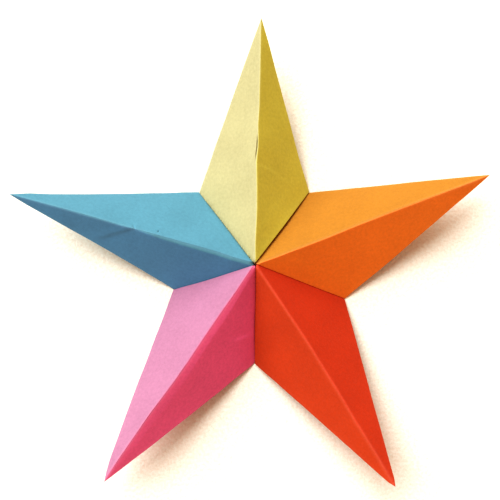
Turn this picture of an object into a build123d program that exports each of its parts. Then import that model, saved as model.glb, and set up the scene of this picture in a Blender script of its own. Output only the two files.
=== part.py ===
from build123d import *
from math import atan2, copysign, cos, degrees, radians, sin, sqrt, tan
import os

# A five-pointed star of five folded paper units, one square sheet to each point.
# It lies on its back: the ridges look up, and the five valley corners rest on the plane z = 0.
# The origin is below the middle of the star, and +Y runs to the yellow tip.

# The sheet, in millimetres
SQUARE_SIDE = 75.0
STRIP_WIDTH = 8.0
SHEET = 0.12
LAYER_GAP = 0.04
CREASE_RADIUS = 0.10

# Clearances between folded edges
SEAM_GAP = 0.20
HIDDEN_CLEARANCE = 0.40

# How the points were set when the star was put together, clockwise from the yellow one.
# Bearings are in degrees from +X towards +Y. Each valley is the one clockwise of its point.
TIP_BEARING = {"yellow": 88.5, "orange": 21.5, "red": -58.0, "pink": -124.5, "blue": 164.0}
RIDGE_RISE = {"yellow": 0.0, "orange": -1.0, "red": 0.5, "pink": -0.5, "blue": -0.5}
VALLEY_BEARING = {"yellow": 55.0, "orange": -17.5, "red": -90.0, "pink": -165.5, "blue": 124.5}
VALLEY_SPREAD = {"yellow": 1.08, "orange": 1.06, "red": 1.0, "pink": 0.92, "blue": 1.08}
COLOURS = list(TIP_BEARING)

# The folded form. The hem and the tab take a strip off two sides, and the square that is left
# is folded to a kite: its corner makes the tip, and its long sides are the square's own side.
FOLD_SQUARE = SQUARE_SIDE - STRIP_WIDTH
CORNER_ANGLE = 45.0
RIDGE_LENGTH = FOLD_SQUARE * sqrt(2)
SEAM_LENGTH = (RIDGE_LENGTH - FOLD_SQUARE) * sqrt(2)
POINT_PITCH = 360.0 / len(COLOURS)

# Depths of the layers below the face, from the outside in: skin, hem, neighbour's tab, flap
LAYER_STEP = SHEET + LAYER_GAP
HEM_DEPTH = LAYER_STEP
TAB_DEPTH = 2 * LAYER_STEP
POCKET_FLAP_DEPTH = 3 * LAYER_STEP
TAB_SIDE_FLAP_DEPTH = LAYER_STEP


def fold_radius(depth):
    """Outside radius of the fold that lays a sheet at a depth below its own face."""
    return (depth + SHEET) / 2


# An even star with level ridges has its valley corners this far out and this far down
EVEN_SPREAD = SEAM_LENGTH * cos(radians(CORNER_ANGLE)) / cos(radians(POINT_PITCH / 2))
VALLEY_DROP = sqrt(SEAM_LENGTH**2 - EVEN_SPREAD**2)
REST_HEIGHT = fold_radius(POCKET_FLAP_DEPTH)
MIDDLE = Vector(0, 0, REST_HEIGHT + VALLEY_DROP)

# How far inside its border the flat face of a pocket ends, where the turned fold begins
SEAM_STOP = SEAM_GAP + fold_radius(HEM_DEPTH)
EDGE_STOP = fold_radius(POCKET_FLAP_DEPTH)


def direction(bearing):
    """Unit vector at a bearing in degrees."""
    return Vector(cos(radians(bearing)), sin(radians(bearing)))


def tip_point(colour):
    """Where the ridge of a point ends."""
    rise = radians(RIDGE_RISE[colour])
    level = direction(TIP_BEARING[colour]) * cos(rise)
    return MIDDLE + (level + Vector(0, 0, sin(rise))) * RIDGE_LENGTH


def valley_point(colour):
    """The low outer corner between a point and the next one clockwise."""
    spread = EVEN_SPREAD * VALLEY_SPREAD[colour]
    return direction(VALLEY_BEARING[colour]) * spread + Vector(0, 0, REST_HEIGHT)


def border(start, end, inside):
    """A straight border as its inward direction and its place along that direction."""
    along = (end - start).normalized()
    inward = Vector(-along.Y, along.X)
    if inward.dot(inside - start) < 0:
        inward = -inward
    return inward, inward.dot(start)


class Face:
    """One flat half of a point, drawn in its own plane: the tip at the origin, the ridge along x."""

    def __init__(self, colour, valley_colour):
        self.tip = tip_point(colour)
        self.valley = valley_point(valley_colour)
        ridge = (MIDDLE - self.tip).normalized()
        normal = ridge.cross(self.valley - self.tip).normalized()
        self.normal = normal if normal.Z > 0 else -normal
        self.plane = Plane(origin=self.tip, x_dir=ridge, z_dir=self.normal)
        tip, valley, middle = (self.plane.to_local_coords(p) for p in (self.tip, self.valley, MIDDLE))
        inside = (tip + valley + middle) / 3
        along = (middle - valley).normalized()
        tip_angle = degrees(atan2(valley.Y, valley.X))
        self.side = copysign(1, tip_angle)
        folded_corner = direction(2 * tip_angle - self.side * CORNER_ANGLE) * FOLD_SQUARE
        self.borders = {
            "ridge": border(tip, middle, inside),
            "edge": border(tip, valley, inside),
            "seam": border(valley, middle, inside),
            "flap end": border(valley, folded_corner, tip),
            "valley end": (along, along.dot(valley)),
            "middle end": (-along, -along.dot(middle)),
        }

    def corner(self, one, one_inset, other, other_inset):
        """Where two borders cross, each first moved inwards."""
        (n, d), (m, e) = self.borders[one], self.borders[other]
        d += one_inset
        e += other_inset
        crossing = n.X * m.Y - n.Y * m.X
        return Vector((d * m.Y - e * n.Y) / crossing, (n.X * e - m.X * d) / crossing)

    def by_ridge(self, from_tip, inset):
        """A corner at a distance from the tip, a little inside the ridge."""
        return Vector(from_tip, self.side * inset)

    def inset(self, name, corner):
        """How far inside a border a corner lies."""
        inward, place = self.borders[name]
        return inward.dot(corner) - place

    def in_space(self, corner, depth=0.0):
        """A corner of the face, sunk below it, in the star's frame."""
        return self.plane.from_local_coords(Vector(corner.X, corner.Y, -depth))

    def inward(self, name):
        """A border's inward direction in the star's frame."""
        across = self.borders[name][0]
        return self.plane.x_dir * across.X + self.plane.y_dir * across.Y


def plate(face, depth, corners):
    """A flat stretch of sheet at a depth below a face."""
    with BuildSketch(face.plane.offset(-depth)) as outline:
        with BuildLine():
            Polyline(*corners, close=True)
        make_face()
    extrude(outline.sketch, amount=SHEET, dir=-face.normal)


def bend(start, end, bulge, turn, inside_radius):
    """A stretch of sheet bent about the axis from start to end, its bulge towards one side."""
    with BuildSketch(Plane(origin=start, x_dir=bulge, z_dir=end - start)) as section:
        with BuildLine():
            outside = CenterArc((0, 0), inside_radius + SHEET, -turn / 2, turn)
            inside = CenterArc((0, 0), inside_radius, -turn / 2, turn)
            Line(outside @ 0, inside @ 0)
            Line(outside @ 1, inside @ 1)
        make_face()
    extrude(section.sketch, amount=(end - start).length, dir=(end - start).normalized())


def turned_edge(face, name, setback, depth, first, last):
    """The fold along a border that carries the sheet round to a layer below its face."""
    radius = fold_radius(depth)
    start = face.in_space(face.corner(name, setback + radius, *first), radius)
    end = face.in_space(face.corner(name, setback + radius, *last), radius)
    bend(start, end, -face.inward(name), 180, radius - SHEET)


def flap(face, depth, ridge_stop, seam_stop):
    """The sheet's outer corner, folded back under the face so that its raw side lies by the ridge."""
    radius = fold_radius(depth)
    corners = [
        face.corner("ridge", ridge_stop, "edge", radius),
        face.corner("edge", radius, "flap end", HIDDEN_CLEARANCE),
        face.corner("flap end", HIDDEN_CLEARANCE, "ridge", ridge_stop),
    ]
    plate(face, depth, corners)
    turned_edge(face, "edge", 0, depth, ("ridge", -radius), ("seam", seam_stop))


class Point:
    """The two faces of one point, and the crease between them."""

    def __init__(self, colour):
        before = COLOURS[COLOURS.index(colour) - 1]
        self.pocket_side = Face(colour, colour)
        self.tab_side = Face(colour, before)
        self.up = (self.pocket_side.normal + self.tab_side.normal).normalized()
        self.across = (self.pocket_side.normal - self.tab_side.normal).normalized()
        self.turn = self.pocket_side.normal.get_angle(self.tab_side.normal)
        self.crease_setback = (CREASE_RADIUS + SHEET) * tan(radians(self.turn / 2))
        tip_corner = self.pocket_side.corner("ridge", 2 * self.crease_setback, "edge", EDGE_STOP)
        middle_corner = self.pocket_side.corner("ridge", self.crease_setback, "seam", SEAM_STOP)
        self.crease_ends = [tip_corner.X, middle_corner.X]

    def ridge_stop(self, depth):
        """How far from the ridge line a hidden layer ends, to stay on its own side of the point."""
        return (depth + SHEET) * tan(radians(self.turn / 2)) + HIDDEN_CLEARANCE


def pocket_half(point):
    """The clockwise half: its hem is turned under along the seam and makes a pocket with the flap."""
    face = point.pocket_side
    crease_start = point.crease_ends[0]
    with BuildPart() as half:
        skin_corners = [
            face.corner("ridge", 0, "edge", EDGE_STOP),
            face.corner("edge", EDGE_STOP, "seam", SEAM_STOP),
            face.corner("seam", SEAM_STOP, "ridge", point.crease_setback),
            face.by_ridge(crease_start, point.crease_setback),
            face.by_ridge(crease_start, 0),
        ]
        plate(face, 0, skin_corners)
        flap(face, POCKET_FLAP_DEPTH, point.ridge_stop(POCKET_FLAP_DEPTH), SEAM_STOP)
        hem_ends = [
            ("edge", EDGE_STOP + HIDDEN_CLEARANCE),
            ("ridge", point.ridge_stop(HEM_DEPTH)),
        ]
        hem_corners = [face.corner("seam", SEAM_STOP, *stop) for stop in hem_ends]
        hem_corners += [face.corner("seam", STRIP_WIDTH, *stop) for stop in reversed(hem_ends)]
        plate(face, HEM_DEPTH, hem_corners)
        seam_ends = [("edge", EDGE_STOP), ("ridge", point.crease_setback)]
        turned_edge(face, "seam", SEAM_GAP, HEM_DEPTH, *seam_ends)
        split(bisect_by=Plane(origin=face.tip, z_dir=point.across), keep=Keep.TOP)
    return half.part


def tab_half(point, neighbour):
    """The other half: its tab runs on below the seam, into the pocket of the point before."""
    face = point.tab_side
    pocket = neighbour.pocket_side
    edge_stop = fold_radius(TAB_SIDE_FLAP_DEPTH)
    crease_start = point.crease_ends[0]
    turn = face.normal.get_angle(pocket.normal)
    crease_setback = CREASE_RADIUS * tan(radians(turn / 2))

    # The tab's plane lies below the pocket's face, so the sheet passes the seam before it turns
    passes_seam = TAB_DEPTH / sin(radians(turn))
    root = TAB_DEPTH / tan(radians(turn)) + crease_setback
    valley_stop = EDGE_STOP + HIDDEN_CLEARANCE
    pocket_ridge_stop = neighbour.ridge_stop(TAB_DEPTH)
    root_end = pocket.corner("seam", root, "ridge", pocket_ridge_stop)
    middle_stop = pocket.inset("middle end", root_end)

    with BuildPart() as half:
        skin_corners = [
            face.by_ridge(crease_start, 0),
            face.corner("ridge", 0, "edge", edge_stop),
            face.corner("edge", edge_stop, "seam", 0),
            face.corner("seam", 0, "valley end", valley_stop),
            face.corner("seam", crease_setback - passes_seam, "valley end", valley_stop),
            face.corner("seam", crease_setback - passes_seam, "middle end", middle_stop),
            face.corner("seam", 0, "middle end", middle_stop),
            face.corner("seam", 0, "ridge", point.crease_setback),
            face.by_ridge(crease_start, point.crease_setback),
        ]
        plate(face, 0, skin_corners)
        flap(face, TAB_SIDE_FLAP_DEPTH, point.ridge_stop(TAB_SIDE_FLAP_DEPTH), 0)
        split(bisect_by=Plane(origin=face.tip, z_dir=point.across), keep=Keep.BOTTOM)
        tab_corners = [
            pocket.corner("seam", root, "valley end", valley_stop),
            root_end,
            pocket.corner("seam", STRIP_WIDTH, "ridge", pocket_ridge_stop),
            pocket.corner("seam", STRIP_WIDTH, "valley end", valley_stop),
        ]
        plate(pocket, TAB_DEPTH, tab_corners)
        hollow = (face.normal + pocket.normal).normalized()
        rise = hollow * (CREASE_RADIUS / cos(radians(turn / 2)))
        valley_crease = [
            face.in_space(face.corner("seam", -passes_seam, "valley end", valley_stop)) + rise,
            face.in_space(face.corner("seam", -passes_seam, "middle end", middle_stop)) + rise,
        ]
        bend(*valley_crease, -hollow, turn, CREASE_RADIUS)
    return half.part


points = {colour: Point(colour) for colour in COLOURS}
os.makedirs("parts", exist_ok=True)

for place, colour in enumerate(COLOURS):
    point = points[colour]
    halves = [pocket_half(point), tab_half(point, points[COLOURS[place - 1]])]
    sink = point.up * ((CREASE_RADIUS + SHEET) / cos(radians(point.turn / 2)))
    ridge_line = [point.pocket_side.in_space(Vector(from_tip, 0)) for from_tip in point.crease_ends]
    ridge_crease = [end - sink for end in ridge_line]
    with BuildPart() as unit:
        add(halves)
        bend(*ridge_crease, point.up, point.turn, CREASE_RADIUS)
    unit.part.label = f"{colour}_unit"
    export_step(unit.part, f"parts/{colour}_unit.step")
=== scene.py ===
"""The looks of a five-pointed star of folded paper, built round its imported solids.

Each point of the star is one folded square of dyed paper. Its solid is copied, cut into small
cells and bent. Most of the bending is one field for all five sheets: slow waves, ridges that
wander, creases that were pressed twice and the small marks of folding. Only the opening of a
pocket is a sheet's own. Lengths are in millimetres until a mesh is made, and bearings are in
degrees from +X.
"""

import math

import bmesh
import bpy
import numpy as np
from mathutils import Euler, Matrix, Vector


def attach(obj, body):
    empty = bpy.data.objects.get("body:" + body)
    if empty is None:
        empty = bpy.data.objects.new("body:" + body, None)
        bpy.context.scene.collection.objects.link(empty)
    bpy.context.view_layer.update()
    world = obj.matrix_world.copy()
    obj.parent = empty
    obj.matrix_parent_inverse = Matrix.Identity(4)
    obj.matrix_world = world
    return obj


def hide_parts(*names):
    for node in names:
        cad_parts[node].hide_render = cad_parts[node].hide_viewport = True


MM = 0.001

COLOURS = ("yellow", "orange", "red", "pink", "blue")
MIDDLE = (0.0, 0.0, 19.364)
RIDGE_LENGTH = 94.752
RIDGE_BEARING = {"yellow": 88.5, "orange": 21.5, "red": -58.0, "pink": -124.5, "blue": 164.0}
# The valley corner clockwise of each ridge, and the one counterclockwise of it is its neighbour's.
VALLEY = {
    "yellow": (21.25, 30.35),
    "orange": (34.68, -10.94),
    "red": (0.0, -34.31),
    "pink": (-30.56, -7.90),
    "blue": (-20.99, 30.53),
}
NEIGHBOUR_BEFORE = {
    "yellow": "blue",
    "orange": "yellow",
    "red": "orange",
    "pink": "red",
    "blue": "pink",
}
# The least width that a distance across a face is divided by, since a face ends in a point.
LEAST_WIDTH = 0.01


# Places on a point of the star.


class Ridge:
    """One ridge line, and where a place lies along and across it. Across is positive clockwise."""

    def __init__(self, colour):
        bearing = math.radians(RIDGE_BEARING[colour])
        self.along = np.array((math.cos(bearing), math.sin(bearing)))
        self.clockwise = np.array((math.sin(bearing), -math.cos(bearing)))
        self.valleys = [
            self.place(np.array([VALLEY[colour]])),
            self.place(np.array([VALLEY[NEIGHBOUR_BEFORE[colour]]])),
        ]

    def place(self, xy):
        """Distances along and across the ridge of some places in the plane."""
        return xy @ self.along, xy @ self.clockwise

    def half_width(self, along, clockwise_side):
        """How far the face reaches from the ridge, on one side, at a distance along it."""
        valley_along, valley_across = self.valleys[0 if clockwise_side else 1]
        reach = abs(valley_across[0])
        return np.interp(
            along, (0.0, valley_along[0], RIDGE_LENGTH), (0.0, reach, 0.0), 0.0, 0.0
        )

    def nearness(self, along, across):
        """1 on the ridge line, falling evenly to 0 at the edges of the two faces."""
        width = np.where(
            across > 0, self.half_width(along, True), self.half_width(along, False)
        )
        return np.clip(1 - np.abs(across) / np.maximum(width, LEAST_WIDTH), 0, 1)


RIDGES = {colour: Ridge(colour) for colour in COLOURS}


# How the paper is bent.

# How far each ridge line strays to its clockwise side, at distances along it.
STRAY = {
    "yellow": (
        (0, 0.0), (8, -0.12), (15, 0.1), (21, 0.15), (28.5, 0.05), (34, -0.2), (38, -0.4),
        (41, -0.3), (44, -0.05), (47.5, -0.1), (53, -0.32), (60, 0.05), (74, 0.0), (88, -0.15),
        (94.8, 0.0),
    ),
    "orange": (
        (0, 0.0), (8, 0.3), (29, 0.4), (36, 0.22), (42, 0.1), (50, 0.15), (60, 0.05),
        (67, 0.15), (74, 0.35), (84, 0.5), (94.8, 0.42),
    ),
    "red": (
        (0, 0.0), (8, -0.25), (20, -0.55), (30, -0.9), (38, -1.0), (46, -0.85), (58, -0.65),
        (68, -0.42), (82, -0.35), (94.8, 0.1),
    ),
    "pink": (
        (0, 0.0), (12, -0.35), (30, -0.5), (43, -0.7), (52, -0.7), (60, -0.4), (66, -0.1),
        (80, 0.0), (94.8, -0.2),
    ),
    "blue": (
        (0, 0.0), (8, -0.07), (14, 0.2), (28, 0.05), (36, 0.1), (46, 0.3), (50, 0.1),
        (60, 0.12), (74, 0.05), (88, -0.1), (94.8, -0.2),
    ),
}
# Bands where a ridge was creased twice: the distance along it, then the reach to its
# counterclockwise and to its clockwise side.
BEVEL = {
    "yellow": ((0, 0.20, 0.05), (24, 0.5, 0.08), (39, 0.8, 0.10), (47, 0.15, 0.05), (52, 0, 0)),
    "orange": ((0, 0.70, 0.30), (40, 0.65, 0.25), (60, 0.40, 0.20), (95, 0.05, 0.05)),
    "red": ((0, 0.35, 0.60), (30, 0.40, 0.65), (60, 0.38, 0.55), (78, 0.2, 0.3), (95, 0, 0)),
    "pink": (
        (0, 0.90, 0.30), (20, 2.10, 0.60), (42, 2.20, 0.55), (52, 2.50, 0.45), (62, 2.40, 0.35),
        (76, 1.80, 0.25), (88, 0.80, 0.1), (94, 0.1, 0.05),
    ),
    "blue": (
        (0, 0.80, 0.50), (20, 1.00, 0.60), (36, 0.75, 0.45), (46, 0.08, 0.08), (60, 0.25, 0.20),
        (95, 0.05, 0.05),
    ),
}
# How far the counterclockwise and then the clockwise outer edge stand out from the straight, at
# shares of the way from the valley corners to the tip. At the tip both are the stray of the tip.
EDGE_BOW = {
    "yellow": (
        (0, 0, 0), (0.1, 0.10, 0.08), (0.25, 0.35, 0.10), (0.5, 0.28, 0.12), (0.7, 0.42, 0.06),
        (0.85, 0.25, 0.17), (1, 0.0, 0.0),
    ),
    "orange": (
        (0, 0, 0), (0.1, 0.15, -0.05), (0.25, 0.28, 0.25), (0.5, 0.15, 0.40), (0.7, 0.06, 0.45),
        (0.9, -0.16, 0.46), (1, -0.42, 0.42),
    ),
    "red": (
        (0, 0, 0), (0.1, 0.10, 0.35), (0.25, 0.25, 0.75), (0.5, 0.30, 0.68), (0.7, 0.26, 0.68),
        (0.9, 0.33, 0.75), (0.96, 0.35, 0.72), (1, -0.1, 0.1),
    ),
    "pink": (
        (0, 0, 0), (0.1, 0.45, 0.25), (0.25, 1.15, 0.68), (0.5, 1.06, 0.92), (0.7, 1.02, 0.99),
        (0.9, 0.68, 0.80), (0.96, 0.45, 0.35), (1, 0.2, -0.2),
    ),
    "blue": (
        (0, 0, 0), (0.1, -0.30, 0.15), (0.25, -0.70, 0.15), (0.4, -0.58, -0.28),
        (0.6, -0.18, -0.33), (0.8, 0.2, -0.15), (0.9, 0.35, 0.2), (1, 0.2, -0.2),
    ),
}
# How much longer each point grows, over the last stretch before its tip.
TIP_REACH = {"yellow": 0.15, "orange": 0.0, "red": 0.3, "pink": 1.1, "blue": 0.2}
TIP_STRETCH_FROM = 70.0
# How far each valley corner moves across the ground.
CORNER_MOVE = {
    "yellow": (0.16, 0.50),
    "orange": (0.05, 0.25),
    "red": (0.10, -0.99),
    "pink": (-0.26, 0.78),
    "blue": (-0.18, 0.35),
}
CORNER_REACH = 10.0
SLOW_WAVES = 9
SLOW_WAVE_LENGTHS = (16.0, 42.0)
SLOW_WAVE_HEIGHT = 0.045
SIDEWAYS_WAVE_SHIFT = 0.05 / 3
# The waves fade towards the surface that the star rests on, over this height.
GROUND_FADE = 4.0

random = np.random.default_rng(5)
WAVES = [
    (
        random.uniform(0, 2 * math.pi),
        2 * math.pi / random.uniform(*SLOW_WAVE_LENGTHS),
        random.uniform(0, 2 * math.pi),
    )
    for _ in range(3 * SLOW_WAVES)
]


def waves(xy, first):
    """A slow wavy height of some places, from one third of the waves."""
    total = np.zeros(len(xy))
    for heading, pace, phase in WAVES[first * SLOW_WAVES : (first + 1) * SLOW_WAVES]:
        total += np.sin(pace * (xy @ np.array((math.cos(heading), math.sin(heading)))) + phase)
    return total


# How steeply the faces fall away from a ridge, and the least band that is divided by.
BEVEL_SLOPE = 0.9
LEAST_BAND = 1e-6


def bevel_reach(along, table):
    """How far a twice creased band reaches to its counterclockwise and to its clockwise side."""
    rows = np.array(table)
    counter = np.interp(along, rows[:, 0], rows[:, 1])
    clockwise = np.interp(along, rows[:, 0], rows[:, 2])
    return counter, clockwise


def bevel_drop(along, across, table):
    """How far a ridge sinks where it was creased twice, leaving a narrow flatter band.

    The band runs from a line on one face to a line on the other, and the paper between them is
    straight. Each side's reach changes along the ridge.
    """
    counter, clockwise = bevel_reach(along, table)
    share = np.clip((across + counter) / np.maximum(counter + clockwise, LEAST_BAND), 0, 1)
    band = -BEVEL_SLOPE * (counter * (1 - share) + clockwise * share)
    roof = -BEVEL_SLOPE * np.abs(across)
    on_band = (across > -counter) & (across < clockwise)
    return np.where(on_band, np.minimum(band - roof, 0), 0)


# A crease fades in and out over these shares of its length, and starts at a share of its depth.
CREASE_FADE_IN = 0.3
CREASE_FADE_OUT = 0.45
CREASE_START = 0.25
# How far the step beside a crease reaches, in widths of the crease.
STEP_REACH = 5


def crease(xy, start, end, width, depth, sides=0.0):
    """A short pressed line: a shallow groove that fades at its ends, in millimetres.

    With sides other than 0 the paper steps that much from one side of the line to the other.
    """
    start, end = np.array(start), np.array(end)
    line = end - start
    length = np.linalg.norm(line)
    line = line / length
    along = (xy - start) @ line
    across = (xy - start) @ np.array((line[1], -line[0]))
    fade = np.clip(along / (CREASE_FADE_IN * length) + CREASE_START, 0, 1) * np.clip(
        (length - along) / (CREASE_FADE_OUT * length), 0, 1
    )
    groove = -depth * np.exp(-((across / width) ** 2))
    step = sides * np.tanh(across / width) * np.exp(-((across / (STEP_REACH * width)) ** 2))
    return fade * (groove + step)


# The small pressed marks: start, end, width, depth and step.
MARKS = (
    # The slit beside the yellow ridge, the crease that leaves it, and a nick.
    ((1.05, 48.8), (0.38, 37.6), 0.20, 0.85, 0.0),
    ((0.8, 38.0), (11.0, 35.6), 0.50, 0.03, 0.07),
    ((7.7, 35.2), (17.0, 33.0), 0.8, 0.05, 0.05),
    ((10.3, 66.0), (12.8, 63.8), 0.35, 0.08, 0.0),
    # The pinch and the creases of the blue point.
    ((-44.3, 12.9), (-61.5, 9.4), 0.45, 0.08, 0.24),
    ((-43.6, 12.6), (-37.8, 10.4), 0.40, 0.14, 0.08),
    ((-45.3, 14.6), (-43.9, 11.7), 0.28, 0.26, 0.0),
    # Pink, near the seam and at the tip.
    ((-7.6, -26.6), (-0.9, -24.2), 0.5, 0.09, 0.18),
    ((-10.5, -27.4), (-1.5, -22.8), 1.2, 0.0, 0.10),
    ((-52.4, -75.6), (-51.9, -76.9), 0.25, 0.22, 0.0),
    # Wrinkles in orange, then faint ones in red and pink.
    ((47.0, 19.6), (52.0, 12.0), 0.7, 0.04, 0.06),
    ((52.0, 13.0), (60.0, 9.0), 0.9, 0.03, 0.05),
    ((16.7, 2.7), (28.7, -7.0), 1.3, 0.0, 0.07),
    ((29.0, -49.0), (22.0, -44.0), 0.8, 0.03, 0.05),
    ((-30.0, -44.0), (-22.0, -50.0), 0.9, 0.03, 0.05),
    ((-11.3, -17.0), (-19.7, -29.3), 0.25, 0.06, 0.0),
)
# The furrows along the seams: the valley corner a seam runs to, how far the furrow lies to the
# clockwise side of it, its width and its depth.
FURROWS = (
    ("yellow", 0.55, 0.45, 0.38),
    ("orange", 0.10, 0.20, 0.05),
    ("red", -0.42, 0.45, 0.62),
    ("blue", -0.10, 0.20, 1.00),
)
# Small pits: one pricked into the blue paper, and the dimple where all five sheets meet.
PITS = (((-35.8, 12.1), 0.28, 0.50), ((-0.3, 0.1), 0.75, 1.40))

# How far a pocket's folded edge stands off the sheet tucked into it, and is drawn back from it.
# The lift fades away from the seam, and acts only on the layers above the tucked sheet.
POCKET_LIFT = {"yellow": 0.95, "orange": 0.07, "red": 0.10, "pink": 0.10, "blue": 0.32}
POCKET_DRAW = {"yellow": 0.38, "orange": 0.0, "red": 0.12, "pink": 0.03, "blue": 0.10}
LIFT_FADE = 3.5
LIFTED_DEPTH = (0.30, 0.44)
# The height of the folded edge at a valley corner.
VALLEY_HEIGHT = 0.30
# The gape follows half a sine wave. At the middle of the star it is this far into it, and it runs
# on over this share by the valley corner.
GAPE_START = 0.12
GAPE_SPAN = 0.8
# How far past the seam, and past an outer edge, the paper still moves along.
SEAM_MARGIN = 1.0
EDGE_MARGIN = 1.5
# The hem inside a pocket shows through the sheet as a faint step along its raw edge.
STRIP_WIDTH = 8.0
HEM_STEP = 0.035
HEM_STEP_WIDTH = 0.5
HEM_STEP_FADE = 4
# A furrow deepens over a stretch from the middle, runs past the valley corner and fades there.
FURROW_FADE_IN = 3.0
FURROW_OVERRUN = 1.0
FURROW_FADE_OUT = 2.0


def furrow(xy, valley, aside, width, depth):
    """How deep the paper dips beside a seam, from near the middle to the valley corner."""
    length = np.linalg.norm(valley)
    along = xy @ (valley / length)
    across = xy @ np.array((valley[1], -valley[0])) / length - aside
    fade = np.clip(along / FURROW_FADE_IN, 0, 1) * np.clip(
        (length + FURROW_OVERRUN - along) / FURROW_FADE_OUT, 0, 1
    )
    return depth * fade * np.exp(-((across / width) ** 2))


def pocket_opening(points, colour):
    """How the pocket of one point gapes along its seam."""
    middle, valley = np.array(MIDDLE), np.array((*VALLEY[colour], VALLEY_HEIGHT))
    ridge = RIDGES[colour]
    tip = middle + np.array((*ridge.along, 0)) * RIDGE_LENGTH
    normal = np.cross(valley - middle, tip - middle)
    normal /= np.linalg.norm(normal)
    length = np.linalg.norm(valley - middle)
    seam = (valley - middle) / length
    inward = np.cross(normal, seam)
    from_middle = points - middle
    depth = -from_middle @ normal
    from_seam = from_middle @ inward
    along = np.clip(from_middle @ seam / length, 0, 1)
    bow = np.sin(math.pi * np.clip(GAPE_START + GAPE_SPAN * along, 0, 1))
    above = np.clip((LIFTED_DEPTH[1] - depth) / (LIFTED_DEPTH[1] - LIFTED_DEPTH[0]), 0, 1)
    on_face = (from_seam > -SEAM_MARGIN) & (from_middle @ seam > 0)
    fade = bow * above * on_face * np.exp(-np.clip(from_seam, 0, None) / LIFT_FADE)
    hem = HEM_STEP * bow * above * on_face * np.tanh((STRIP_WIDTH - from_seam) / HEM_STEP_WIDTH)
    hem *= np.exp(-(((STRIP_WIDTH - from_seam) / HEM_STEP_FADE) ** 2))
    lift = POCKET_LIFT[colour] * fade + hem
    return lift[:, None] * normal + (POCKET_DRAW[colour] * fade)[:, None] * inward


def beyond_corner(ridge, along, clockwise_side):
    """The share of the way from a valley corner to the tip, below 0 on the near side of it."""
    start = ridge.valleys[0 if clockwise_side else 1][0]
    return (along - start) / (RIDGE_LENGTH - start)


def edge_bow(colour, along, across):
    """How far the outer edges draw the faces to the clockwise side, fading to the ridge line."""
    ridge, rows = RIDGES[colour], np.array(EDGE_BOW[colour])
    shift = np.zeros(len(along))
    for clockwise_side, column in ((False, 1), (True, 2)):
        sign = 1 if clockwise_side else -1
        share = beyond_corner(ridge, along, clockwise_side)
        width = np.maximum(ridge.half_width(along, clockwise_side), LEAST_WIDTH)
        out = sign * np.interp(share, rows[:, 0], rows[:, column])
        out = out * np.clip(sign * across / width, 0, 1)
        shift += out * (share > 0) * (sign * across > 0) * (sign * across < width + EDGE_MARGIN)
    return shift


def bent(points, own_colour):
    """Where the flat-sided points go. Only the opening of a pocket depends on the sheet."""
    xy = points[:, :2]
    lift = np.clip(points[:, 2] / GROUND_FADE, 0, 1)
    moved = points + pocket_opening(points, own_colour)
    moved[:, 2] += SLOW_WAVE_HEIGHT * lift * waves(xy, 0)
    moved[:, 0] += SIDEWAYS_WAVE_SHIFT * lift * waves(xy, 1)
    moved[:, 1] += SIDEWAYS_WAVE_SHIFT * lift * waves(xy, 2)
    for colour, ridge in RIDGES.items():
        along, across = ridge.place(xy)
        near = ridge.nearness(along, across)
        on_unit = (along > 0) & (near > 0)
        stray = np.array(STRAY[colour])
        shift = np.interp(along, stray[:, 0], stray[:, 1]) * near * on_unit
        outermost = np.clip((along - TIP_STRETCH_FROM) / (RIDGE_LENGTH - TIP_STRETCH_FROM), 0, 1)
        moved[:, :2] += (TIP_REACH[colour] * outermost**2)[:, None] * ridge.along
        bow = edge_bow(colour, along, across)
        moved[:, :2] += (shift + bow)[:, None] * ridge.clockwise
        moved[:, 2] += on_unit * bevel_drop(along, across, BEVEL[colour])
    for colour in COLOURS:
        away = np.linalg.norm(xy - np.array(VALLEY[colour]), axis=1)
        near = np.exp(-((away / CORNER_REACH) ** 2))
        moved[:, :2] += near[:, None] * np.array(CORNER_MOVE[colour])
    for mark in MARKS:
        moved[:, 2] += lift * crease(xy, *mark)
    for colour, aside, width, depth in FURROWS:
        moved[:, 2] -= lift * furrow(xy, np.array(VALLEY[colour]), aside, width, depth)
    for centre, radius, depth in PITS:
        away = np.linalg.norm(xy - np.array(centre), axis=1)
        moved[:, 2] -= depth * np.exp(-((away / radius) ** 2))
    return moved


# The sheets.

CELL = 0.8
# Distances across the ridge, where it is creased, of the finer cuts beside it.
RIDGE_CUTS = (0.12, 0.3, 0.5, 0.7, 0.9, 1.15, 1.4, 1.7, 2.0, 2.4)
REACH_BEHIND = -4.0
REACH_ALONG = 96.0
REACH_ACROSS = 31.0
COPLANAR = math.radians(0.3)
WELD = 1e-7
SHARP = math.radians(32)
# Finer cells round the crisp marks: colour, along from and to, across from and to, cell size.
FINE_PATCHES = (
    ("yellow", 33.0, 42.0, -1.0, 10.0, 0.35),
    ("yellow", 37.5, 49.0, -1.5, 0.9, 0.11),
    ("blue", 36.0, 64.0, -9.0, 3.0, 0.40),
    ("blue", 44.0, 47.5, -1.2, 2.6, 0.16),
    ("blue", 37.2, 38.7, 1.2, 2.7, 0.10),
    ("pink", 16.0, 32.0, -15.0, -5.0, 0.40),
    ("orange", 14.0, 62.0, -1.0, 18.0, 0.55),
)


def span(face, heading):
    """How far a face reaches, least and most, in a direction."""
    places = [corner.co.dot(heading) for corner in face.verts]
    return min(places), max(places)


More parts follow.
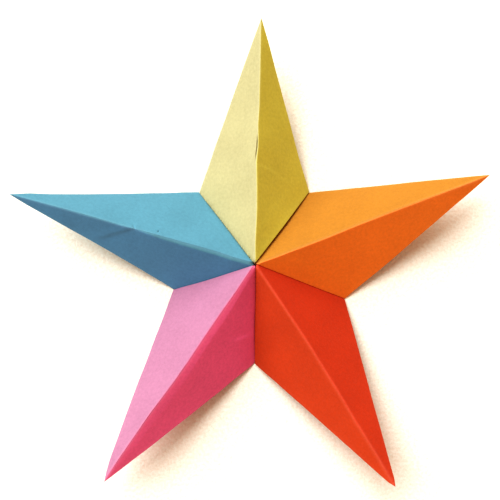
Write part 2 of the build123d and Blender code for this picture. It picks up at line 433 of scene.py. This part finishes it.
def sweep(mesh, faces, direction, distances):
    """Cuts faces by upright planes across a direction, in order.

    Only the faces that a plane meets are handed to the cut, and what lies beyond it is kept for
    the next one.
    """
    heading = Vector((*direction, 0))
    waiting = sorted(((*span(face, heading), face) for face in faces), key=lambda entry: entry[0])
    active = []
    first = 0
    for distance in sorted(distances):
        at = distance * MM
        while first < len(waiting) and waiting[first][0] < at - WELD:
            active.append(waiting[first][1:])
            first += 1
        crossed = [face for most, face in active if most > at + WELD]
        if not crossed:
            active = []
            continue
        edges = {edge for face in crossed for edge in face.edges}
        corners = {corner for face in crossed for corner in face.verts}
        done = bmesh.ops.bisect_plane(
            mesh,
            geom=[*corners, *edges, *crossed],
            dist=WELD,
            plane_co=heading * at,
            plane_no=heading,
        )
        active = []
        for part in done["geom"]:
            if isinstance(part, bmesh.types.BMFace):
                least, most = span(part, heading)
                if least + most > 2 * at:
                    active.append((most, part))


def cells(reach_from, reach_to, size):
    """Evenly spaced distances from one reach to the other."""
    return np.linspace(reach_from, reach_to, max(2, round((reach_to - reach_from) / size)))


def inside(mesh, ridge, reach):
    """The faces whose middles lie between two distances along the ridge and two across it."""
    heading, sideways = Vector((*ridge.along, 0)), Vector((*ridge.clockwise, 0))
    start, end, low, high = (distance * MM for distance in reach)
    found = []
    for face in mesh.faces:
        middle = face.calc_center_median()
        if start < middle.dot(heading) < end and low < middle.dot(sideways) < high:
            found.append(face)
    return found


def sheet(colour, node):
    """The paper of one point: its solid's mesh, cut into cells and bent."""
    ridge = RIDGES[colour]
    mesh = bmesh.new()
    mesh.from_mesh(node.data)
    bmesh.ops.remove_doubles(mesh, verts=mesh.verts, dist=WELD)
    bmesh.ops.dissolve_limit(
        mesh,
        angle_limit=COPLANAR,
        verts=mesh.verts,
        edges=mesh.edges,
        use_dissolve_boundaries=False,
    )
    beside = [*RIDGE_CUTS, *cells(RIDGE_CUTS[-1] + CELL, REACH_ACROSS, CELL)]
    sweep(mesh, mesh.faces[:], ridge.clockwise, [d * side for d in beside for side in (-1, 1)])
    sweep(mesh, mesh.faces[:], ridge.along, cells(REACH_BEHIND, REACH_ALONG, CELL))
    for patch_colour, *reach, size in FINE_PATCHES:
        if patch_colour == colour:
            sweep(mesh, inside(mesh, ridge, reach), ridge.along, cells(*reach[:2], size))
            sweep(mesh, inside(mesh, ridge, reach), ridge.clockwise, cells(*reach[2:], size))
    bmesh.ops.triangulate(mesh, faces=[face for face in mesh.faces if len(face.verts) > 4])
    data = bpy.data.meshes.new(f"{colour}_paper")
    mesh.to_mesh(data)
    mesh.free()

    flat = np.zeros(len(data.vertices) * 3)
    data.vertices.foreach_get("co", flat)
    flat = flat.reshape(-1, 3) / MM
    mark_folds(data, flat, colour)
    data.vertices.foreach_set("co", (bent(flat, colour) * MM).ravel())
    data.update()
    data.polygons.foreach_set("use_smooth", np.ones(len(data.polygons), bool))
    data.set_sharp_from_angle(angle=SHARP)
    made = bpy.data.objects.new(f"{colour}_paper", data)
    bpy.context.scene.collection.objects.link(made)
    return made


# How far wear, and on a ridge a painted highlight, reaches from a ridge and from an outer edge, and
# how far down from the ridges.
RIDGE_WEAR_HIGHLIGHT_REACH = 0.55
EDGE_WEAR = 0.35
WEAR_DEPTH = 3.0
FAR_AWAY = 1e3


def to_line(xy, start, end):
    """The distance of some places from a line between two points."""
    start, end = np.array(start), np.array(end)
    line = end - start
    share = np.clip(((xy - start) @ line) / (line @ line), 0, 1)
    return np.linalg.norm(xy - start - share[:, None] * line, axis=1)


def mark_folds(data, flat, colour):
    """Notes on the mesh where the ridge is worn and has a painted highlight, where the outer edges
    are worn, and which face's dye, with its painted shade, it has.
    """
    xy = flat[:, :2]
    ridge = RIDGES[colour]
    along, across = ridge.place(xy)
    tip = ridge.along * RIDGE_LENGTH
    # The paler band along the ridge is partly wear and partly a painted highlight.
    on_ridge = np.exp(-((across / RIDGE_WEAR_HIGHLIGHT_REACH) ** 2)) * (flat[:, 2] > MIDDLE[2] - WEAR_DEPTH)
    edge = np.full(len(flat), FAR_AWAY)
    for valley_along, valley_across in ridge.valleys:
        corner = ridge.along * valley_along[0] + ridge.clockwise * valley_across[0]
        edge = np.minimum(edge, to_line(xy, corner, tip))
    on_edge = np.exp(-((edge / EDGE_WEAR) ** 2))
    # clockwise_face picks each face's dye, and with it that face's painted shade.
    counter, clockwise = bevel_reach(along, BEVEL[colour])
    share, width = PAINTED_SHADE_LINE[colour]
    line = share * (counter + clockwise) - counter
    turned = np.clip(0.5 + (across - line) / width, 0, 1)
    for name, values in (
        ("ridge_wear_highlight", on_ridge),
        ("edge_wear", on_edge),
        ("clockwise_face", turned),
    ):
        attribute = data.attributes.new(name, "FLOAT", "POINT")
        attribute.data.foreach_set("value", values.astype(np.float32))


# Materials.


class Shader:
    """A node material in the making. Its helpers add a node and return its main output."""

    def __init__(self, name):
        self.material = bpy.data.materials.new(name)
        self.material.use_nodes = True
        self.nodes = self.material.node_tree.nodes
        self.links = self.material.node_tree.links
        self.surface = self.nodes["Principled BSDF"]
        self.place = self.nodes.new("ShaderNodeTexCoord").outputs["Object"]

    def plug(self, value, socket):
        """Links an output to a socket, or sets the socket to a plain value."""
        if isinstance(value, bpy.types.NodeSocket):
            self.links.new(value, socket)
        else:
            socket.default_value = value

    def noise(self, scale, detail=2.0, roughness=0.5, distortion=0.0, place=None):
        """Noise whose lumps are about 1 / scale metres wide, from 0 to 1."""
        node = self.nodes.new("ShaderNodeTexNoise")
        self.plug(place or self.place, node.inputs["Vector"])
        for name, value in (
            ("Scale", scale),
            ("Detail", detail),
            ("Roughness", roughness),
            ("Distortion", distortion),
        ):
            node.inputs[name].default_value = value
        return node.outputs["Fac"]

    def turned(self, degrees, stretch):
        """The place tilted, turned about the upright and stretched along one axis."""
        node = self.nodes.new("ShaderNodeMapping")
        self.plug(self.place, node.inputs["Vector"])
        node.inputs["Rotation"].default_value = (*STRAND_TILT, math.radians(degrees))
        node.inputs["Scale"].default_value = (1.0, stretch, 1.0)
        return node.outputs["Vector"]

    def between(self, value, low, high, to_low=0.0, to_high=1.0):
        """Maps a value from one range to another, and holds it there."""
        node = self.nodes.new("ShaderNodeMapRange")
        self.plug(value, node.inputs["Value"])
        for name, number in (
            ("From Min", low),
            ("From Max", high),
            ("To Min", to_low),
            ("To Max", to_high),
        ):
            node.inputs[name].default_value = number
        return node.outputs["Result"]

    def calculate(self, operation, first, second):
        """One step of arithmetic on two values."""
        node = self.nodes.new("ShaderNodeMath")
        node.operation = operation
        self.plug(first, node.inputs[0])
        self.plug(second, node.inputs[1])
        return node.outputs["Value"]

    def mix(self, share, first, second):
        """A colour between two others."""
        node = self.nodes.new("ShaderNodeMix")
        node.data_type = "RGBA"
        self.plug(share, node.inputs["Factor"])
        self.plug(first, node.inputs["A"])
        self.plug(second, node.inputs["B"])
        return node.outputs["Result"]

    def scaled(self, colour, factor):
        """A colour made lighter or darker."""
        node = self.nodes.new("ShaderNodeVectorMath")
        node.operation = "SCALE"
        self.plug(colour, node.inputs["Vector"])
        self.plug(factor, node.inputs["Scale"])
        return node.outputs["Vector"]

    def attribute(self, name):
        """A value noted on the mesh."""
        node = self.nodes.new("ShaderNodeAttribute")
        node.attribute_name = name
        return node.outputs["Fac"]

    def bump(self, height, distance, strength):
        """A small relief of the surface."""
        node = self.nodes.new("ShaderNodeBump")
        self.plug(height, node.inputs["Height"])
        node.inputs["Distance"].default_value = distance
        node.inputs["Strength"].default_value = strength
        self.links.new(node.outputs["Normal"], self.surface.inputs["Normal"])


# The dye of each sheet's counterclockwise face, then of its clockwise one, with painted shade in
# them. One sheet of real paper has one dye; these two are a lit and a shaded copy of it, painted in
# for light that this set doesn't give. They were fitted to bring each face near its average colour
# in the photograph. For even paper, both are set alike.
DYES_WITH_PAINTED_SHADE = {
    "yellow": ((0.485, 0.420, 0.231), (0.61, 0.505, 0.094)),
    "orange": ((0.485, 0.215, 0.034), (0.826, 0.246, 0.037)),
    "red": ((0.57, 0.0635, 0.0125), (0.523, 0.0715, 0.015)),
    "pink": ((0.785, 0.160, 0.281), (0.455, 0.211, 0.286)),
    "blue": ((0.141, 0.299, 0.441), (0.143, 0.304, 0.361)),
}
# How much lighter the dye is where it is worn or has a painted highlight, and how much of the white
# core shows.
WORN = 1.06
PALER = 0.06
# Where the painted shade changes from one face's dye to the other's across a twice creased band,
# from 0 at its counterclockwise side to 1 at its clockwise side, and over what width.
PAINTED_SHADE_LINE = {
    "yellow": (0.75, 0.5),
    "orange": (0.7, 0.4),
    "red": (0.5, 0.4),
    "pink": (0.95, 0.8),
    "blue": (0.0, 0.4),
}


# The paper's noises, in lumps a metre, and the tones that three of them give.
CLOUDS = 75
MOTTLE = 950
WEAR_BREAKS = 1500
FLECKS = 2600
STRANDS = 5200
GRAIN = 6500
CLOUD_TONE = (0.97, 1.03)
MOTTLE_TONE = (0.92, 1.07)
FLECK_TONE = (1.0, 0.94)
# The fibres lie four ways, drawn out along their length and tilted out of the level, in radians.
STRAND_TURNS = (8, 62, 118, 155)
STRAND_TILT = (0.5, 0.3)
STRAND_STRETCH = 0.09
# How much of the paler colour shows on a fibre, on a ridge that is worn and has a painted
# highlight, and on a worn edge.
STRAND_PALE = 0.30
RIDGE_WEAR_HIGHLIGHT_PALE = 0.8
EDGE_PALE = 0.5
# The relief of fibres and mottle beside the grain's, then the height of it all in metres.
STRAND_RELIEF = 0.5
MOTTLE_RELIEF = 1.2
PAPER_RELIEF = 0.00004
PAPER_BUMP = 0.6
PAPER_ROUGHNESS = (0.86, 0.97)
PAPER_SPECULAR = 0.25
PAPER_SHEEN = 0.08
PAPER_SHEEN_ROUGHNESS = 0.6
WHITE = (1.0, 1.0, 1.0, 1.0)


def paper(colour):
    """Dyed craft paper: matt, cloudy and flecked with short fibres. Each face has its own dye, a
    lit or shaded copy that is painted shade. It is paler along its ridge, from wear and a painted
    highlight, and along its outer edges, from wear.
    """
    counter, clockwise = DYES_WITH_PAINTED_SHADE[colour]
    look = Shader(f"{colour}_paper_with_painted_shade")
    # Painted shade: the counterclockwise and clockwise faces take different dyes, lit and shaded
    # copies of one paper.
    dye_with_painted_shade = look.mix(look.attribute("clockwise_face"), (*counter, 1.0), (*clockwise, 1.0))
    pale = look.mix(PALER, look.scaled(dye_with_painted_shade, WORN), WHITE)
    mottle = look.noise(MOTTLE, detail=3.0, roughness=0.62)
    cloud = look.noise(CLOUDS, detail=2.0)
    tone = look.between(mottle, 0.25, 0.75, *MOTTLE_TONE)
    tone = look.calculate("MULTIPLY", tone, look.between(cloud, 0.3, 0.7, *CLOUD_TONE))

    strands = None
    for degrees in STRAND_TURNS:
        drawn_out = look.turned(degrees, STRAND_STRETCH)
        strand = look.noise(STRANDS, detail=1.5, distortion=0.35, place=drawn_out)
        strand = look.between(strand, 0.60, 0.72)
        strands = strand if strands is None else look.calculate("MAXIMUM", strands, strand)
    flecks = look.noise(FLECKS, detail=2.0, roughness=0.7)
    flecks = look.between(flecks, 0.63, 0.74, *FLECK_TONE)
    body = look.scaled(dye_with_painted_shade, look.calculate("MULTIPLY", tone, flecks))
    body = look.mix(look.calculate("MULTIPLY", strands, STRAND_PALE), body, pale)

    broken = look.noise(WEAR_BREAKS, detail=3.0, roughness=0.7)
    broken = look.between(broken, 0.3, 0.62, 0.35, 1.0)
    # Paler along the ridge: partly wear, partly a painted highlight. Paler along the outer edges:
    # wear.
    worn_or_highlit = look.calculate("MULTIPLY", look.attribute("ridge_wear_highlight"), RIDGE_WEAR_HIGHLIGHT_PALE)
    worn_edge = look.calculate("MULTIPLY", look.attribute("edge_wear"), EDGE_PALE)
    worn_or_highlit = look.calculate("MAXIMUM", worn_or_highlit, worn_edge)
    worn_or_highlit = look.calculate("MULTIPLY", worn_or_highlit, broken)
    body = look.mix(worn_or_highlit, body, pale)
    look.plug(body, look.surface.inputs["Base Color"])
    roughness = look.between(mottle, 0.2, 0.8, *PAPER_ROUGHNESS)
    look.plug(roughness, look.surface.inputs["Roughness"])
    look.surface.inputs["Specular IOR Level"].default_value = PAPER_SPECULAR
    look.surface.inputs["Sheen Weight"].default_value = PAPER_SHEEN
    look.surface.inputs["Sheen Roughness"].default_value = PAPER_SHEEN_ROUGHNESS

    grain = look.noise(GRAIN, detail=3.0, roughness=0.65)
    raised = look.calculate("MULTIPLY", strands, STRAND_RELIEF)
    relief = look.calculate("ADD", raised, grain)
    relief = look.calculate("ADD", relief, look.calculate("MULTIPLY", mottle, MOTTLE_RELIEF))
    look.bump(relief, PAPER_RELIEF, PAPER_BUMP)
    return look.material


GROUND_GRIT = 900
GROUND_DARKER = (0.88, 0.75, 0.60, 1.0)
GROUND_PALER = (1.0, 0.94, 0.82, 1.0)
GROUND_ROUGHNESS = 0.95
GROUND_SPECULAR = 0.1
GROUND_RELIEF = 0.0006
GROUND_BUMP = 0.5


def plaster():
    """The pale matt surface that the star lies on."""
    look = Shader("pale_ground")
    grit = look.noise(GROUND_GRIT, detail=4.0, roughness=0.65)
    tone = look.mix(look.between(grit, 0.25, 0.75), GROUND_DARKER, GROUND_PALER)
    look.plug(tone, look.surface.inputs["Base Color"])
    look.surface.inputs["Roughness"].default_value = GROUND_ROUGHNESS
    look.surface.inputs["Specular IOR Level"].default_value = GROUND_SPECULAR
    look.bump(grit, GROUND_RELIEF, GROUND_BUMP)
    return look.material


# The set.

# The floor's half side and how far it lies under the star, in metres.
FLOOR_REACH = 4.0
FLOOR_DROP = 0.00002
FLOOR_CORNERS = ((-1, -1), (1, -1), (1, 1), (-1, 1))


def ground():
    """A wide flat floor just under the star."""
    data = bpy.data.meshes.new("floor")
    corners = [(x * FLOOR_REACH, y * FLOOR_REACH, -FLOOR_DROP) for x, y in FLOOR_CORNERS]
    data.from_pydata(corners, [], [(0, 1, 2, 3)])
    data.materials.append(plaster())
    floor = bpy.data.objects.new("floor", data)
    bpy.context.scene.collection.objects.link(floor)


KEY_BEARING = math.radians(131)
KEY_HEIGHT = math.radians(44)
KEY_WIDTH = math.radians(62)
KEY_STRENGTH = 3.24
KEY_TINT = (0.755, 0.90, 1.0)
SKY_TINT = (1.0, 0.80, 0.66)
SKY_STRENGTH = 0.40


def lights():
    """One broad soft sun from the upper left, and an even pale surround."""
    data = bpy.data.lights.new("key", "SUN")
    data.angle = KEY_WIDTH
    data.energy = KEY_STRENGTH
    data.color = KEY_TINT
    key = bpy.data.objects.new("key", data)
    heading = Vector(
        (
            math.cos(KEY_BEARING) * math.cos(KEY_HEIGHT),
            math.sin(KEY_BEARING) * math.cos(KEY_HEIGHT),
            math.sin(KEY_HEIGHT),
        )
    )
    key.rotation_euler = heading.to_track_quat("Z", "Y").to_euler()
    bpy.context.scene.collection.objects.link(key)

    world = bpy.data.worlds.new("surround")
    world.use_nodes = True
    world.node_tree.nodes["Background"].inputs["Color"].default_value = (*SKY_TINT, 1.0)
    world.node_tree.nodes["Background"].inputs["Strength"].default_value = SKY_STRENGTH
    bpy.context.scene.world = world


AIM = Vector((-1.54, 8.25, 0.0))
CAMERA_DISTANCE = 450.0
# Tilts of the view about the picture's own axes, in degrees.
CAMERA_ROLL = -0.08
CAMERA_PITCH = -9.16
CAMERA_YAW = 0.92
SENSOR = 36.0
LENS = 84.15
CLIP_START = 0.01


def camera():
    """A camera above the star, a little towards the viewer's side."""
    axes = (
        Euler((0, 0, math.radians(CAMERA_ROLL))).to_matrix()
        @ Euler((math.radians(CAMERA_PITCH), 0, 0)).to_matrix()
        @ Euler((0, math.radians(CAMERA_YAW), 0)).to_matrix()
    )
    data = bpy.data.cameras.new("camera")
    data.sensor_width = SENSOR
    data.lens = LENS
    data.clip_start = CLIP_START
    made = bpy.data.objects.new("camera", data)
    made.rotation_euler = axes.transposed().to_euler()
    made.location = (AIM + CAMERA_DISTANCE * axes[2]) * MM
    bpy.context.scene.collection.objects.link(made)
    bpy.context.scene.camera = made


# The scene.

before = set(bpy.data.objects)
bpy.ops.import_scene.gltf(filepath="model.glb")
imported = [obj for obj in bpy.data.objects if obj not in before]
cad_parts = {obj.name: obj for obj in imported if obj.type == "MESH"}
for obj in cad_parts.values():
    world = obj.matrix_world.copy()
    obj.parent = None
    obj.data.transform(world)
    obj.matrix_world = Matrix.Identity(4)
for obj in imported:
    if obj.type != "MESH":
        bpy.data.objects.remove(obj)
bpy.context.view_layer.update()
for colour in COLOURS:
    piece = sheet(colour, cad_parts[f"{colour}_unit"])
    piece.data.materials.append(paper(colour))
    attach(piece, "root")
    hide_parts(f"{colour}_unit")
ground()
lights()
camera()
bpy.context.scene.view_settings.view_transform = "Standard"
bpy.context.scene.view_settings.look = "Very High Contrast"
